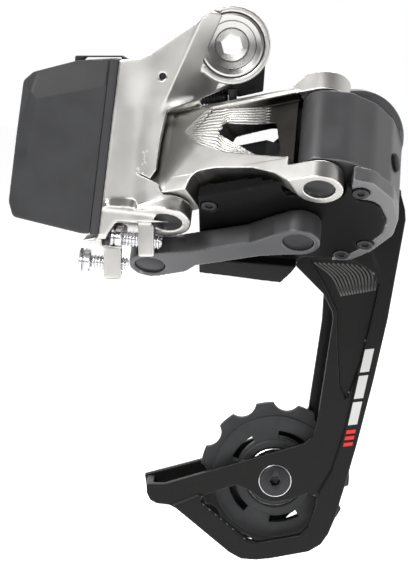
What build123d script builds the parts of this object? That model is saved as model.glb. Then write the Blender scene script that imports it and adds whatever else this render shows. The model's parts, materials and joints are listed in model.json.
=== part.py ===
from build123d import *
import os
from math import atan2, cos, degrees, pi, radians, sin, tan

# Rear bicycle derailleur, electronic, medium cage.  Millimetres.
# Frame: origin on the hanger bolt axis at the frame hanger's face, +X bike forward,
# +Y inboard (away from a viewer who stands on the drive side), +Z up.

# ------------------------------------------------------------------ driving dimensions
# chain and pulleys
CHAIN_PITCH = 12.7
ROLLER_R = 4.0
TEETH = 11
PITCH_R = CHAIN_PITCH / (2 * sin(pi / TEETH))
TIP_R = 20.8
CHAIN_Y = 9.0              # the chain's mid plane
TOOTH_HALF = 1.1
PULLEY_HALF = 1.8
BEARING_R = 8.0
BEARING_BORE_R = 4.0
BEARING_HALF = 1.9
PULLEY_BOLT_R = 2.5

# hanger bolt, M10 x 1
THREAD_R = 5.0
THREAD_LENGTH = 8.5
BOLT_SHANK_R = 5.9
BOLT_HEAD_R = 8.3
BOSS_R = 10.0
BOSS_FRONT = -17.5
BOSS_BACK = -3.2
HEAD_SEAT = -14.6
BUSH_WALL = 1.05
RUNNING_GAP = 0.05

# slant parallelogram: pivot axes lean inboard and forward
LEAN = 38.0
TOE = 6.5
REAR_PIVOT = Vector(-16.94, -20.0, -45.51)
LINK_STEP = (38.7, -17.0)      # rear pivot to front pivot, in the plane across the axes
INNER_STEP = (-4.3, 15.5)      # outer link pivots to inner link pivots
TRAVEL = 50.0                  # swing of the links, degrees
PIN_R = 4.0
PIN_GAP = 0.03
PIN_BUSH_R = 4.9
PIN_RECESS = 0.5

# levels along the pivot axes
REAR_LUG_LOW = (0.0, 4.8)
REAR_LUG_HIGH = (31.3, 37.0)
OUTER_LEVEL = (5.2, 31.0)
FRONT_LUG_LOW = (2.5, 7.4)
FRONT_LUG_HIGH = (29.6, 35.0)
KNUCKLE_LEVEL = (7.9, 29.2)
INNER_LEVEL = (-4.0, 2.5)
COVER_LEVEL = (3.1, 4.7)
DECK_LEVEL = (9.0, 10.5)
TURRET_TOP = 24.5

# cage
CAGE_PIVOT = (32.8, -23.8)
UPPER_AXIS = (25.5, -41.5)
LOWER_AXIS = (12.1, -119.1)
OUTER_PLATE = (2.0, 4.8)
INNER_PLATE = (13.2, 15.4)
DRUM_R = 12.2
SPRING_ROOM_R = 10.9
DRUM_FRONT = -10.4
DRUM_BACK = 1.3
AXLE_R = 5.0

# battery
BATTERY_FRONT = -22.0
BATTERY_BACK = -1.0
BATTERY_WALL = 1.3
FACE_TOP = (-28.7, -3.7)       # upper end of the face that meets the knuckle
FACE_BOTTOM = (-34.4, -48.6)   # lower end of that face
BASE_THICK = 2.2

# ------------------------------------------------------------------ frames and helpers
AXIS = Vector(tan(radians(TOE)), tan(radians(LEAN)), 1).normalized()
INWARD = Vector(0, AXIS.Z, -AXIS.Y).normalized()
FORWARD = INWARD.cross(AXIS)
LINKS = Plane(origin=REAR_PIVOT, x_dir=FORWARD, z_dir=AXIS)
LINK_ANGLE = degrees(atan2(LINK_STEP[1], LINK_STEP[0]))
ALONG = FORWARD * cos(radians(LINK_ANGLE)) + INWARD * sin(radians(LINK_ANGLE))
ACROSS = AXIS.cross(ALONG)
P1 = (0.0, 0.0)
P2 = LINK_STEP
P3 = INNER_STEP
P4 = (LINK_STEP[0] + INNER_STEP[0], LINK_STEP[1] + INNER_STEP[1])
LINK_LENGTH = (LINK_STEP[0] ** 2 + LINK_STEP[1] ** 2) ** 0.5


def face(points, radius=0.0):
    """A closed outline from its corners, all corners rounded by one radius."""
    outline = make_face(Polyline(*points, close=True))
    return fillet(outline.vertices(), radius) if radius else outline


def eased(points, radius, beyond):
    """A closed outline whose corners are rounded where their first coordinate is past a limit."""
    outline = make_face(Polyline(*points, close=True))
    corners = [corner for corner in outline.vertices() if corner.X > beyond]
    return fillet(corners, radius)


def disc(centre, radius):
    return Pos(centre[0], centre[1]) * Circle(radius)


def hull(*discs):
    """The tight outline round several (x, y, radius) discs."""
    edges = [edge for x, y, r in discs for edge in disc((x, y), r).edges()]
    return make_hull(edges)


def upright(sketch, y_front, y_back):
    """Stands an X-Z outline up and gives it thickness from y_front back to y_back."""
    return Pos(0, y_back, 0) * extrude(Plane.XZ * sketch, amount=y_back - y_front)


def stacked(sketch, low, high):
    """Extrudes an outline drawn across the pivot axes from level low to level high."""
    return LINKS * Pos(0, 0, low) * extrude(sketch, amount=high - low)


def side_on(sketch, n_low, n_high):
    """Extrudes a (along the link, level) outline across the link, from n_low to n_high inboard."""
    plane = Plane(origin=REAR_PIVOT + ACROSS * n_high, x_dir=ALONG, z_dir=ACROSS * -1)
    return plane * extrude(sketch, amount=n_high - n_low)


def along_link(points, swing=0.0):
    """Turns (along the link, across the link) points into points across the pivot axes."""
    c, s = cos(radians(LINK_ANGLE + swing)), sin(radians(LINK_ANGLE + swing))
    return [(a * c - b * s, a * s + b * c) for a, b in points]


def rod(centre, radius, low, high):
    return stacked(disc(centre, radius), low, high)


def tube(centre, outer, inner, low, high):
    return stacked(disc(centre, outer) - disc(centre, inner), low, high)


def y_rod(centre, radius, y_front, y_back):
    return upright(disc(centre, radius), y_front, y_back)


def y_tube(centre, outer, inner, y_front, y_back):
    return upright(disc(centre, outer) - disc(centre, inner), y_front, y_back)


def world(x, y, level):
    """A point given across the pivot axes and along them, in the part's own frame."""
    return REAR_PIVOT + FORWARD * x + INWARD * y + AXIS * level


def group(solids):
    return Compound(children=list(solids))


# ------------------------------------------------------------------ hanger bolt and B-stop
HEX_R = 3.0
DISH_R = 4.4
DISH_DEPTH = 2.6
STEP_FLOOR = -8.5


def hanger_bolt():
    outline = [(0, THREAD_LENGTH), (4.5, THREAD_LENGTH), (THREAD_R, THREAD_LENGTH - 0.5),
               (THREAD_R, 0), (BOLT_SHANK_R, 0), (BOLT_SHANK_R, HEAD_SEAT),
               (BOLT_HEAD_R, HEAD_SEAT), (BOLT_HEAD_R, -17.0), (7.6, -17.4), (0, -17.4)]
    body = revolve(make_face(Polyline(*outline, close=True)), axis=Axis.Y)
    dish_front = Plane.XZ.offset(17.4) * Circle(7.2)
    dish_floor = Plane.XZ.offset(17.4 - DISH_DEPTH) * Circle(DISH_R)
    dish = loft([dish_floor, dish_front])
    step = y_rod((0, 0), DISH_R, -16.0, STEP_FLOOR)
    socket = upright(RegularPolygon(HEX_R, 6), -18, THREAD_LENGTH + 1)
    return body - dish - step - socket


def hanger_bush():
    return y_tube((0, 0), BOLT_SHANK_R + RUNNING_GAP + BUSH_WALL, BOLT_SHANK_R + RUNNING_GAP,
                  HEAD_SEAT + RUNNING_GAP, BOSS_BACK)


def hanger_seal():
    ring = Plane.XY * Pos(8.5, BOSS_BACK - 0.35) * Circle(0.4)
    return revolve(ring, axis=Axis.Y)


STOP_FRONT = -3.0
STOP_SCREW_Z = -13.9
STOP_SCREW_Y = -6.6
STOP_SCREW_R = 2.0
STOP_SCREW_LENGTH = 22.0
TIP_DOME_R = 4.0
STOP_HEAD_ROOM = 7.6
TAB_X = -0.9


def b_stop_plate():
    leg = face([(-6.2, -4), (8.9, -3.9), (8.3, -12.2), (2.0, -13.6), (-5.2, -12.6)], 0.6)
    plate = upright(disc((0, 0), 9.4) + leg, STOP_FRONT, 0)
    tab = Pos(TAB_X + 1.1, -5.75, -13.1) * Box(2.2, 6.1, 3.4)
    return plate + tab - y_rod((0, 0), BOLT_SHANK_R + RUNNING_GAP, -4, 1)


def b_tension_screw():
    length = STOP_SCREW_LENGTH
    start = TAB_X - RUNNING_GAP - length
    axis_plane = Plane(origin=(start, STOP_SCREW_Y, STOP_SCREW_Z), z_dir=(1, 0, 0))
    shank = extrude(axis_plane * Circle(STOP_SCREW_R), amount=length)
    tip_centre = TAB_X - RUNNING_GAP - TIP_DOME_R
    shank -= extrude(axis_plane.offset(length - 1.0) * Circle(3.0), amount=2.0) \
        - Pos(tip_centre, STOP_SCREW_Y, STOP_SCREW_Z) * Sphere(TIP_DOME_R)
    head = extrude(axis_plane.offset(-3.2) * Circle(3.2), amount=3.2)
    socket = extrude(axis_plane.offset(-3.3) * RegularPolygon(1.25, 6), amount=2.0)
    return shank + head - socket


# ------------------------------------------------------------------ B-knuckle
LUG_R = 6.4
POCKET_R = 7.1
SPINE = [(-16.0, -6.0), (-7.8, -6.0), (-7.8, 12.0), (-16.0, 12.0)]
INNER_BOSS_R = 5.9
INNER_BOSS_LEVEL = (1.8, 22.0)
LIMIT_TILT = 6.0
HIGH_SCREW = Vector(-31.4, -18.0, -49.3)
LOW_SCREW = Vector(-39.6, -18.0, -55.4)
LIMIT_R = 2.0


RIDGE_HEAD = (-8.2, -22.0, 4.0)
RIDGE_FOOT = (-17.4, -22.2, -16.0)


def panel_outline():
    points = [(-28.7, -3.7), (-24.2, -3.4), (-20.9, -2.0), (-13.2, 3.3), (-5.4, 8.4), (6.0, 6.0),
              (3.0, -9.5), (-8.0, -13.8), (-16.6, -16.6), (-18.2, -24.0), (-19.2, -31.0),
              (-18.6, -36.4), (-16.4, -39.5), (-16.0, -45.2), (-29.8, -45.2), (-32.3, -48.7),
              (-34.4, -48.6)]
    return make_face(Polyline(*points, close=True))


def b_knuckle():
    ridge = Vector(RIDGE_FOOT) - Vector(RIDGE_HEAD)
    fall = Vector(7.6, 8.5, -4.0)
    slope = Plane(origin=RIDGE_HEAD, x_dir=ridge, z_dir=ridge.cross(fall))
    panel = upright(panel_outline(), -22.6, -9.0)
    panel -= extrude(slope * Rectangle(80, 120), amount=20)
    boss = y_rod((0, 0), BOSS_R, BOSS_FRONT, BOSS_BACK)
    neck = upright(face([(-24, -4), (-4, 7), (2, -9), (-14, -16), (-26, -22)], 2), -12.0, -4.5)
    spine = stacked(face(SPINE, 1.5), *(REAR_LUG_LOW[0], REAR_LUG_HIGH[1]))
    lug = hull((0, 0, LUG_R), (-11.0, 1.0, 5.0))
    lugs = stacked(lug, *REAR_LUG_LOW) + stacked(lug, *REAR_LUG_HIGH)
    inner_boss = stacked(hull((*P3, INNER_BOSS_R), (-11.5, 8.5, 3.5)), *INNER_BOSS_LEVEL)
    lip = upright(face([(-39.0, -50.0), (-33.6, -48.7), (-32.6, -49.2), (-32.0, -51.0),
                        (-28.6, -51.6), (-28.6, -52.5), (-33.2, -52.5), (-34.6, -51.2)]),
                  -21.2, -8.0)
    web = upright(face([(-34.0, -44.0), (-31.2, -44.0), (-32.2, -49.5), (-34.6, -49.5)]),
                  -22.0, -8.0)
    tab_high = upright(face([(-24.1, -44.0), (-20.1, -44.0), (-20.1, -54.2), (-24.1, -54.2)]),
                       -21.2, -15.2)
    tab_low = upright(face([(-33.1, -50.0), (-28.6, -50.0), (-28.6, -60.1), (-33.1, -60.1)], 0.5),
                      -21.2, -14.8)
    latch_lugs = upright(hull((*LATCH_PIVOT, 2.1), (-24.0, -8.0, 3.0)), -20.0, -5.0)
    stop_plane = Plane(origin=(-21, STOP_SCREW_Y, STOP_SCREW_Z), z_dir=(1, 0, 0))
    stop_boss = extrude(stop_plane * Circle(3.4), amount=13)
    body = panel + boss + neck + spine + lugs + inner_boss + lip + web + tab_high + tab_low
    body += latch_lugs + stop_boss

    swept = along_link([(0, -POCKET_R), (60, -POCKET_R)]) + along_link([(60, 4.6), (0, 4.6)], TRAVEL)
    wedge = make_face(Polyline(*swept, close=True))
    pocket = stacked(disc(P1, POCKET_R) + wedge, REAR_LUG_LOW[1], REAR_LUG_HIGH[0])
    body -= pocket
    body -= y_rod((0, 0), BOLT_SHANK_R + RUNNING_GAP + BUSH_WALL, -16, 0)
    body -= y_rod((0, 0), BOLT_HEAD_R + 0.15, -18, HEAD_SEAT)
    body -= y_tube((0, 0), 8.95, 8.05, BOSS_BACK - 0.8, BOSS_BACK + 1)
    body -= rod(P1, PIN_R, -1, 38)
    body -= rod(P3, PIN_BUSH_R, -6, 24) + rod(P3, INNER_LUG_R + 0.4, -6, INNER_BOSS_LEVEL[0])
    body -= battery_clearance()
    body -= extrude(Plane(origin=(-30, STOP_SCREW_Y, STOP_SCREW_Z), z_dir=(1, 0, 0)) * Circle(2.06),
                    amount=26)
    body -= extrude(Plane(origin=(-28, STOP_SCREW_Y, STOP_SCREW_Z), z_dir=(1, 0, 0)) * Circle(3.4),
                    amount=STOP_HEAD_ROOM)
    for screw in (HIGH_SCREW, LOW_SCREW):
        body -= extrude(limit_plane(screw) * Circle(LIMIT_R + 0.06), amount=16)
        body -= extrude(limit_plane(screw).offset(-2) * Circle(3.6), amount=5.6)
    body -= contact_pocket()
    body -= y_rod(LATCH_PIVOT, 1.0, -21, -4)
    body -= upright(face([(-30, -1.0), (-30, -8.2), (-22.9, -8.2), (-22.9, -1.0)]), -16.3, -8.7)
    return body - grub_hole()


def limit_plane(start):
    tilt = radians(LIMIT_TILT)
    return Plane(origin=start, z_dir=(cos(tilt), 0, -sin(tilt)))


def limit_screw(start, length):
    plane = limit_plane(start)
    head = extrude(plane * Circle(3.3), amount=3.0)
    collar = extrude(plane.offset(3.0) * Circle(LIMIT_R), amount=length - 3.0)
    socket = extrude(plane.offset(-0.1) * RegularPolygon(1.4, 6), amount=2.1)
    return head + collar - socket


def rear_link_pin():
    return rod(P1, PIN_R, REAR_LUG_LOW[0] + PIN_RECESS, REAR_LUG_HIGH[1] - PIN_RECESS)


def inner_rear_bush():
    return tube(P3, PIN_BUSH_R, PIN_R + PIN_GAP, *INNER_BOSS_LEVEL)


GRUB = (-17.6, -7.9)


def grub_hole():
    return y_rod(GRUB, 0.9, -24, -16)


def grub_screw():
    return y_rod(GRUB, 0.9, -21.6, -16)


# ------------------------------------------------------------------ battery and its latch
def face_point(down, back):
    """A point on the knuckle's battery face: down along it, and back away from the knuckle."""
    dx, dz = FACE_BOTTOM[0] - FACE_TOP[0], FACE_BOTTOM[1] - FACE_TOP[1]
    length = (dx * dx + dz * dz) ** 0.5
    ux, uz = dx / length, dz / length
    return (FACE_TOP[0] + ux * down + uz * back, FACE_TOP[1] + uz * down - ux * back)


FACE_LENGTH = 45.2
CONTACTS = 3
CONTACT_START = 28.5
CONTACT_STEP = 4.0
LATCH_PIVOT = (-26.7, -5.8)


def battery_outline():
    return [(-39.6, -3.9), (-51.0, -6.8), (-53.6, -9.0), (-57.5, -39.9), (-56.4, -43.8),
            (-38.9, -48.1)]


def battery_clearance():
    points = [face_point(-0.2, -0.1), (-39.6, -3.7), (-60, -3.7), (-60, -49),
              face_point(FACE_LENGTH + 0.2, -0.1)]
    return upright(make_face(Polyline(*points, close=True)), -30, 6)


def battery_cover():
    outer = battery_outline()
    points = [face_point(0, BASE_THICK)] + outer + [face_point(FACE_LENGTH, BASE_THICK)]
    shell = upright(make_face(Polyline(*points, close=True)), BATTERY_FRONT, BATTERY_BACK)
    shell = fillet(shell.edges().filter_by(Axis.Y).sort_by(Axis.X)[0:4], 1.6)
    bevel = Plane(origin=(-53.0, BATTERY_FRONT + 1.6, -9.0), x_dir=(-3.9, 0, -31.0), z_dir=(-1.0, -1.6, 0.35))
    shell -= extrude(bevel * Rectangle(120, 60), amount=10)
    inner = [face_point(BATTERY_WALL, BASE_THICK - 1), (-39.6, -5.3), (-50.4, -8.2), (-52.2, -9.8),
             (-55.9, -39.6), (-55.1, -42.5), (-39.3, -46.6),
             face_point(FACE_LENGTH - BATTERY_WALL, BASE_THICK - 1)]
    cavity = upright(make_face(Polyline(*inner, close=True)),
                     BATTERY_FRONT + 3.4, BATTERY_BACK - BATTERY_WALL)
    catch = upright(face([(-41.6, -3.0), (-41.6, -4.9), (-36.4, -4.9), (-36.4, -3.0)]), -16.6, -8.4)
    return shell - cavity - catch


def battery_base():
    points = [face_point(0, 0), face_point(0, BASE_THICK), face_point(FACE_LENGTH, BASE_THICK),
              face_point(FACE_LENGTH, 0)]
    plate = upright(make_face(Polyline(*points, close=True)), BATTERY_FRONT, BATTERY_BACK)
    recess = [face_point(27, -1), face_point(27, 1.1), face_point(40, 1.1), face_point(40, -1)]
    return plate - upright(make_face(Polyline(*recess, close=True)), -17, -6)


def battery_contacts():
    def pad(down):
        points = [face_point(down, 0.7), face_point(down, 1.1), face_point(down + 2, 1.1),
                  face_point(down + 2, 0.7)]
        return upright(make_face(Polyline(*points, close=True)), -15, -8)
    return group(pad(CONTACT_START + CONTACT_STEP * i) for i in range(CONTACTS))


def battery_cell():
    points = [face_point(3, 3.4), (-40.0, -7.6), (-49.6, -10.0), (-53.6, -39.4), (-40.0, -44.6),
              face_point(FACE_LENGTH - 4, 3.4)]
    return upright(face(points, 1.0), BATTERY_FRONT + 4.4, BATTERY_BACK - 2.2)


def contact_pocket():
    points = [face_point(27.5, -4.0), face_point(27.5, 1.0), face_point(39.5, 1.0),
              face_point(39.5, -4.0)]
    return upright(make_face(Polyline(*points, close=True)), -16.5, -6.5)


def contact_block():
    points = [face_point(27.5, -4.0), face_point(27.5, -0.1), face_point(39.5, -0.1),
              face_point(39.5, -4.0)]
    block = upright(make_face(Polyline(*points, close=True)), -16.5, -6.5)
    for i in range(CONTACTS):
        block -= contact_pin(CONTACT_START + CONTACT_STEP * i + 1)
    return block


def contact_pin(down):
    x, z = face_point(down, -3.0)
    towards = Vector(face_point(down, 1)[0] - x, 0, face_point(down, 1)[1] - z)
    return extrude(Plane(origin=(x, -11.5, z), z_dir=towards) * Circle(0.8), amount=3.6)


def contact_pins():
    return group(contact_pin(CONTACT_START + CONTACT_STEP * i + 1) for i in range(CONTACTS))


def battery_latch():
    """A lever hinged beside the battery whose nose drops into a catch in the battery's top."""
    arm = face([(-40.4, -3.1), (-40.2, -2.7), (-28.4, -2.7), (-24.9, -4.6), (-24.8, -6.6), (-26.7, -7.6),
                (-28.4, -6.2), (-28.4, -3.1)])
    nose = face([(-40.4, -3.1), (-37.6, -3.1), (-38.9, -4.3), (-40.4, -4.3)])
    return upright(arm + nose, -16.0, -9.0) - y_rod(LATCH_PIVOT, 0.85, -20, -5)


def latch_pin():
    return y_rod(LATCH_PIVOT, 0.8, -19.0, -6.0)


# ------------------------------------------------------------------ outer link
def outer_link():
    plan = face(along_link([(-1, -6.2), (43, -6.0), (43, 1.5), (38, 1.5), (28, -0.6), (14, 3.0), (-1, 4.5)]))
    side = [(-1.0, 5.2), (7.6, 5.2), (9.4, 10.2), (16.0, 10.2), (26.0, 8.4), (32.0, 5.8), (36.3, 2.5),
            (42.3, 2.5), (42.3, 35.0), (39.0, 35.0), (35.0, 31.4), (-1.0, 31.0)]
    profile = make_face(Polyline(*side, close=True))
    hollows = [corner for corner in profile.vertices() if 9 < corner.X < 36 and corner.Y < 12]
    arm = side_on(fillet(hollows, 3.5), -8, 6) & stacked(plan, 0, 40)
    body = arm + rod(P1, LUG_R, *OUTER_LEVEL) + rod(P2, 6.0, FRONT_LUG_LOW[0], FRONT_LUG_HIGH[1])
    fork = along_link([(35.8, -10), (60, -10), (60, 10), (35.8, 10)])
    body -= stacked(face(fork), FRONT_LUG_LOW[1], FRONT_LUG_HIGH[0])
    recess = face([(6.5, 20.5), (13.0, 29.2), (35.0, 29.8), (36.5, 29.8), (36.5, 10.0), (34.0, 10.2),
                   (18.0, 14.8)], 0.8)
    body -= side_on(recess, -10, -3.6)
    window = face([(14.6, 22.0), (16.2, 25.3), (30.0, 23.6), (31.8, 13.6), (25.6, 14.2)], 1.0)
    body -= side_on(window, -10, 10)
    body -= stacked(disc(P1, PIN_BUSH_R), 0, 40)
    return body - rod(P2, PIN_R, 0, 40)


def outer_link_bushes():
    low, high = OUTER_LEVEL
    return group([tube(P1, PIN_BUSH_R, PIN_R + PIN_GAP, low, low + 9),
                  tube(P1, PIN_BUSH_R, PIN_R + PIN_GAP, high - 9, high)])


def front_link_pin():
    return rod(P2, PIN_R, FRONT_LUG_LOW[0] + PIN_RECESS, FRONT_LUG_HIGH[1] - PIN_RECESS)


# ------------------------------------------------------------------ inner link
INNER_LUG_R = 5.6
INNER_ARM_HALF = 3.3


def inner_link():
    low, high = INNER_LEVEL
    shift = Pos(P3[0], P3[1])
    arm = shift * face(along_link([(6.7, -INNER_ARM_HALF), (LINK_LENGTH, -INNER_ARM_HALF),
                                   (LINK_LENGTH, INNER_ARM_HALF), (6.7, INNER_ARM_HALF)]))
    heel = shift * face(along_link([(0, -5.6), (7.5, -4.6), (12.0, -3.3), (12.0, 3.3), (8.0, 5.4), (0, 5.6)]))
    toe = shift * face(along_link([(30.0, -3.3), (37.5, -5.2), (LINK_LENGTH, -5.6), (LINK_LENGTH, 5.6),
                                   (36.5, 4.4), (30.0, 3.3)]))
    body = stacked(arm, low, high - 0.2)
    body += stacked(heel, low, 1.4) + rod(P3, INNER_LUG_R, low, 1.5)
    body += stacked(toe, low, high) + rod(P4, INNER_LUG_R, low, 2.8)
    return body - rod(P3, PIN_R, -6, 4) - rod(P4, PIN_R, -6, 4)


def inner_rear_pin():
    return rod(P3, PIN_R, INNER_LEVEL[0] + PIN_RECESS, 21.6)


INNER_FRONT_TOP = 20.0


def inner_front_pin():
    return rod(P4, PIN_R, INNER_LEVEL[0] + PIN_RECESS, INNER_FRONT_TOP)


# ------------------------------------------------------------------ gear train
MODULE = 0.5
SECTOR_TEETH = 28
SMALL_TEETH = 12
LARGE_TEETH = 20
PINION_TEETH = 10
BACKLASH = 0.16
TRAIN_ANGLE = 150.0
MOTOR_ANGLE = 168.0


def gear_outline(teeth, phase):
    """Straight-flanked spur outline, one tooth centred on the phase angle."""
    pitch_r = MODULE * teeth / 2
    root, tip = pitch_r - 1.15 * MODULE, pitch_r + 0.85 * MODULE
    half = pi / (2 * teeth) - BACKLASH / (2 * pitch_r)
    points = []
    for i in range(teeth):
        centre = radians(phase) + 2 * pi * i / teeth
        for radius, offset in ((root, -1.45), (tip, -0.45), (tip, 0.45), (root, 1.45)):
            angle = centre + offset * half
            points.append((radius * cos(angle), radius * sin(angle)))
    return make_face(Polyline(*points, close=True))


def polar(centre, radius, angle):
    return (centre[0] + radius * cos(radians(angle)), centre[1] + radius * sin(radians(angle)))


IDLER = polar(P4, MODULE * (SECTOR_TEETH + SMALL_TEETH) / 2, TRAIN_ANGLE)
MOTOR = polar(IDLER, MODULE * (LARGE_TEETH + PINION_TEETH) / 2, MOTOR_ANGLE)
LARGE_LEVEL = (5.2, 6.6)
SMALL_LEVEL = (6.9, 8.5)
MOTOR_LEVEL = (10.7, 22.6)
MOTOR_R = 5.0


def drive_sector():
    gear = Pos(*P4) * gear_outline(SECTOR_TEETH, TRAIN_ANGLE)
    near, far_end = TRAIN_ANGLE - 66, TRAIN_ANGLE + 14
    corners = [P4] + [polar(P4, 14, near + (far_end - near) * i / 4) for i in range(5)]
    wedge = make_face(Polyline(*corners, close=True))
    sector = (gear & wedge) + disc(P4, 5.2)
    return stacked(sector - disc(P4, PIN_R), SMALL_LEVEL[0] + 0.1, SMALL_LEVEL[1])


def idler_gear():
    small_phase = TRAIN_ANGLE + 180 + 180 / SMALL_TEETH
    small = stacked(Pos(*IDLER) * gear_outline(SMALL_TEETH, small_phase),
                    LARGE_LEVEL[1], SMALL_LEVEL[1])
    large = stacked(Pos(*IDLER) * gear_outline(LARGE_TEETH, MOTOR_ANGLE), *LARGE_LEVEL)
    return small + large - rod(IDLER, 0.82, 0, 12)


def idler_pin():
    return rod(IDLER, 0.8, COVER_LEVEL[1], DECK_LEVEL[0])


def motor_pinion():
    phase = MOTOR_ANGLE + 180 + 180 / PINION_TEETH
    gear = stacked(Pos(*MOTOR) * gear_outline(PINION_TEETH, phase), LARGE_LEVEL[0], 7.4)
    return gear + rod(MOTOR, 0.7, 7.4, MOTOR_LEVEL[1] - 1)


def motor():
    can = rod(MOTOR, MOTOR_R, *MOTOR_LEVEL) + rod(MOTOR, 2.0, MOTOR_LEVEL[0] - 1.2, MOTOR_LEVEL[0])
    return can - rod(MOTOR, 0.74, 0, MOTOR_LEVEL[1] - 0.9)


# ------------------------------------------------------------------ P-knuckle
LUG_CLEAR_R = 6.7
KNUCKLE_OUTLINE = [(38.7, -22.9), (44.6, -22.9), (51.6, -18.8), (56.4, -12.4), (59.4, -4.0), (59.0, 8.0),
                   (53.0, 17.0), (44.0, 19.0), (36.0, 13.0), (35.2, -8.0), (33.4, -14.0), (32.9, -17.0)]
HOUSING_OUTLINE = [(9.7, 1.2), (9.7, 21.0), (29.6, 22.0), (34.0, 15.4), (44.6, 12.6), (45.6, -8.0),
                   (41.0, -9.6), (33.6, -9.8), (24.0, -5.6)]
CAVITY_OUTLINE = [(11.0, 1.6), (11.0, 19.6), (28.9, 20.6), (33.2, 14.2), (43.2, 11.4), (44.2, -5.6),
                  (40.0, -8.3), (34.0, -8.6), (24.6, -4.6)]
COVER_OUTLINE = [(8.2, -8.6), (31.0, -18.6), (46.6, -18.0), (48.0, -12.6), (53.5, -12.2),
                 (56.4, -4.0), (55.6, 2.6), (51.2, 9.8), (46.4, 15.4), (35.8, 16.6), (32.8, 21.4),
                 (30.2, 26.6), (8.2, 24.6)]
RING_OUTLINE = [(46.9, -21.4), (52.0, -20.2), (57.4, -13.8), (59.4, -5.0), (58.6, 3.0), (53.6, 11.6),
                (48.2, 17.2), (43.4, 17.6), (44.2, 12.9), (45.8, 4.0), (46.0, -10.0)]
SEAM = 7.7


def back_trim():
    return Pos(0, DRUM_BACK + 50, -50) * Box(300, 100, 300)


def link_sweep():
    """The room that the outer link needs, seen from the P-knuckle, as it swings about the front pin."""
    side = along_link([(44, 2.3), (37, 2.3), (29, 0.5), (14, 3.8), (-9, 7.4), (-9, -80), (44, -80)])
    reach = [(9.6, 2.0, 40), (11.5, 4.0, 40), (14.5, 4.9, 40), (18.5, 6.2, 40), (52, 7.4, 40)]
    room = rod(P2, LUG_CLEAR_R, KNUCKLE_LEVEL[1], 40)
    side_face = make_face(Polyline(*side, close=True))
    for radius, low, high in reach:
        room += stacked(disc(P2, radius) & side_face, low, high)
    room += stacked((disc(P2, 52) - disc(P2, 32.8)) & side_face, 4.7, 40)
    room += rod(P2, LUG_CLEAR_R, 0, KNUCKLE_LEVEL[0] - 0.1)
    return room - rod(P2, LUG_CLEAR_R - 0.3, *KNUCKLE_LEVEL)


def p_knuckle():
    outline = eased(KNUCKLE_OUTLINE, 7.0, 43) + disc(P2, 5.9)
    body = stacked(outline, *KNUCKLE_LEVEL)
    body += y_rod(CAGE_PIVOT, DRUM_R, DRUM_FRONT, DRUM_BACK)
    body += y_rod(CAGE_PIVOT, AXLE_R + 2.4, AXLE_FRONT - 1.5, DRUM_FRONT)
    body -= back_trim() + link_sweep()
    body -= stacked(make_face(Polyline(*HOUSING_OUTLINE, close=True)), 0, DECK_LEVEL[1])
    body -= rod(P2, PIN_BUSH_R, 0, 40)
    body -= rod(P4, PIN_BUSH_R + 0.9, 0, INNER_FRONT_TOP + 1.5)
    body -= y_rod(CAGE_PIVOT, SPRING_ROOM_R, SPRING_FRONT, DRUM_BACK + 1)
    body -= y_rod(CAGE_PIVOT, AXLE_R + 1.0, AXLE_FRONT - 0.1, DRUM_BACK)
    body -= button_bore(2.45)
    body -= screw_holes()
    return body - led_bore()


def knuckle_ring():
    outline = eased(RING_OUTLINE, 5.0, 47)
    body = stacked(outline - board_outline(0.3), COVER_LEVEL[1], SEAM)
    rim = outline - eased(COVER_OUTLINE, 4.5, 50)
    body += stacked(rim, COVER_LEVEL[0] + 0.3, COVER_LEVEL[1])
    body -= stacked(make_face(Polyline(*HOUSING_OUTLINE, close=True)), 0, DECK_LEVEL[1])
    return body - back_trim() - link_sweep() - screw_holes()


def board_outline(extra):
    return offset(face([(48.5, -8.0), (54.0, -8.0), (55.5, -2.0), (52.5, 5.0), (48.0, 8.0)]), extra)


def control_board():
    return stacked(board_outline(0), 5.4, 6.6)


def gearbox_housing():
    outer = make_face(Polyline(*HOUSING_OUTLINE, close=True))
    inner = make_face(Polyline(*CAVITY_OUTLINE, close=True))
    turret = face([(9.7, 1.2), (9.7, 21.0), (29.6, 22.0), (31.0, 8.0), (30.0, -3.0), (24.0, -5.6)])
    body = stacked(outer, COVER_LEVEL[1], DECK_LEVEL[1]) + stacked(turret, DECK_LEVEL[1], TURRET_TOP)
    body -= stacked(inner, COVER_LEVEL[1], DECK_LEVEL[0])
    body -= rod(MOTOR, MOTOR_R + 0.05, MOTOR_LEVEL[0], MOTOR_LEVEL[1])
    body -= rod(MOTOR, 2.05, DECK_LEVEL[0], MOTOR_LEVEL[0])
    body -= rod(P4, PIN_BUSH_R, 0, 40)
    body -= back_trim()
    return body - link_sweep() - screw_holes()


def gearbox_cover():
    body = stacked(eased(COVER_OUTLINE, 4.5, 50), *COVER_LEVEL)
    wall = make_face(Polyline((8.2, 0.4), (8.2, 24.6), (30.2, 26.6), (32.8, 21.4), (34.2, 17.8),
                              (34.2, 15.9), (29.7, 22.1), (9.6, 21.1), (9.6, 0.4), close=True))
    body += stacked(wall, COVER_LEVEL[1], 13.0)
    foot = face([(8.2, 17.4), (8.2, 24.6), (30.2, 26.6), (32.8, 21.4), (34.2, 17.6)])
    body += stacked(foot, 0.4, COVER_LEVEL[0])
    strip = face([(8.2, -8.6), (30.2, -18.2), (30.2, -10.0), (9.6, -0.6), (8.2, 0.2)])
    body += stacked(strip, COVER_LEVEL[1], 6.6)
    body -= back_trim() + link_sweep()
    body -= rod(P4, PIN_R + 0.3, 0, 8)
    return body - screw_holes()


SCREWS = [(10.9, -4.6), (49.1, -15.6), (51.7, 8.2), (45.8, 14.0)]


def screw_holes():
    holes = [rod(c, 2.3, -2, COVER_LEVEL[0] + 0.9) + rod(c, 1.2, 0, 10) for c in SCREWS]
    return holes[0] + holes[1] + holes[2] + holes[3]


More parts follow.
